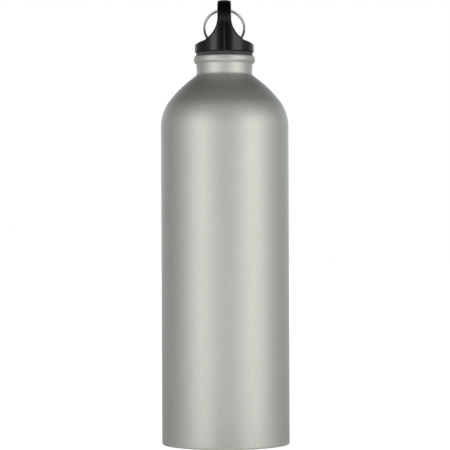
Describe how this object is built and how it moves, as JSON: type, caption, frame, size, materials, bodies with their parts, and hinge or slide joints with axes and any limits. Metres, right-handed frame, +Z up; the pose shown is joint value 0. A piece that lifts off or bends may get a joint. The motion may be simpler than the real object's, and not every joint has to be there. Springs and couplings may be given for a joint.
{
  "type": "steel drinking bottle",
  "caption": "Single-wall steel drinking bottle with a sloped shoulder, a rolled mouth and a screw cap whose arch handle carries a split ring.",
  "frame": {"origin": "centre of the foot, on the surface the bottle stands on", "axes": "+Z up along the bottle's axis, -Y towards the front, +X to the right"},
  "size_m": [0.08, 0.08, 0.2786],
  "materials": {
    "satin_steel": "satin, fine blasted grain",
    "insert_steel": "machined",
    "grey_silicone": "smooth",
    "black_plastic": "moulded, semi-gloss",
    "ring_steel": "polished spring steel"
  },
  "bodies": {
    "bottle": {"bottle_shell": "satin_steel", "base_disc": "satin_steel", "neck_insert": "insert_steel"},
    "gasket": {"gasket": "grey_silicone"},
    "cap": {"cap": "black_plastic"},
    "split_ring": {"split_ring": "ring_steel"}
  },
  "joints": [
    {"name": "cap_lift", "type": "slide", "parent": "bottle", "child": "gasket", "axis": [0, 0, 1], "range_m": [0, 0.01401]},
    {"name": "cap_turn", "type": "hinge", "parent": "gasket", "child": "cap", "pos_m": [0, 0, 0.2456], "axis": [0, 0, 1], "range_deg": [0, 1260]},
    {"name": "ring_swing", "type": "hinge", "parent": "cap", "child": "split_ring", "pos_m": [0, 0.01309, 0.26935], "axis": [1, 0, 0], "range_deg": [-70, 2]}
  ],
  "couplings": [
    {"joint": "cap_lift", "follows": "cap_turn", "m_per_rad": 0.00063662}
  ]
}
